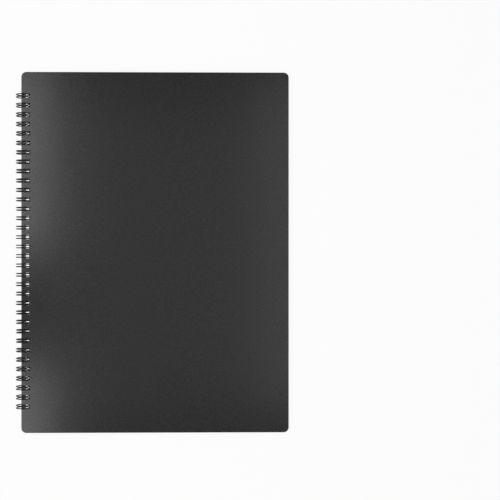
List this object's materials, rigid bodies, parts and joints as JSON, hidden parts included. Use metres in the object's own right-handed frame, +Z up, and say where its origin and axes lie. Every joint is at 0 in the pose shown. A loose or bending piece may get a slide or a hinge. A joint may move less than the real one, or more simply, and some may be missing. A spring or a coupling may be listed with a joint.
{
  "type": "music folder",
  "caption": "Closed portrait music folder: black plastic covers and clear pocket leaves on a black twin-loop wire along the left edge; both covers turn on the wire.",
  "frame": {"origin": "under the middle of the closed folder, on the surface that it lies on", "axes": "+X from the bound edge towards the fore-edge, +Y towards the head of the page, +Z up"},
  "size_m": [0.2452, 0.324, 0.0126],
  "materials": {
    "cover": "satin black polypropylene with a fine grain",
    "wire": "black coated steel wire, semi-gloss",
    "pocket_film": "clear film pockets, seen as a stack"
  },
  "bodies": {
    "bound_leaves": {"wire_binding": "wire", "pocket_leaves": "pocket_film"},
    "front": {"front_cover": "cover"},
    "back": {"back_cover": "cover"}
  },
  "joints": [
    {"name": "front_cover_turn", "type": "hinge", "parent": "bound_leaves", "child": "front", "pos_m": [-0.11755, 0, 0.00707], "axis": [0, -1, 0], "range_deg": [0, 182]},
    {"name": "back_cover_turn", "type": "hinge", "parent": "bound_leaves", "child": "back", "pos_m": [-0.11757, 0, 0.00567], "axis": [0, 1, 0], "range_deg": [0, 182]}
  ]
}
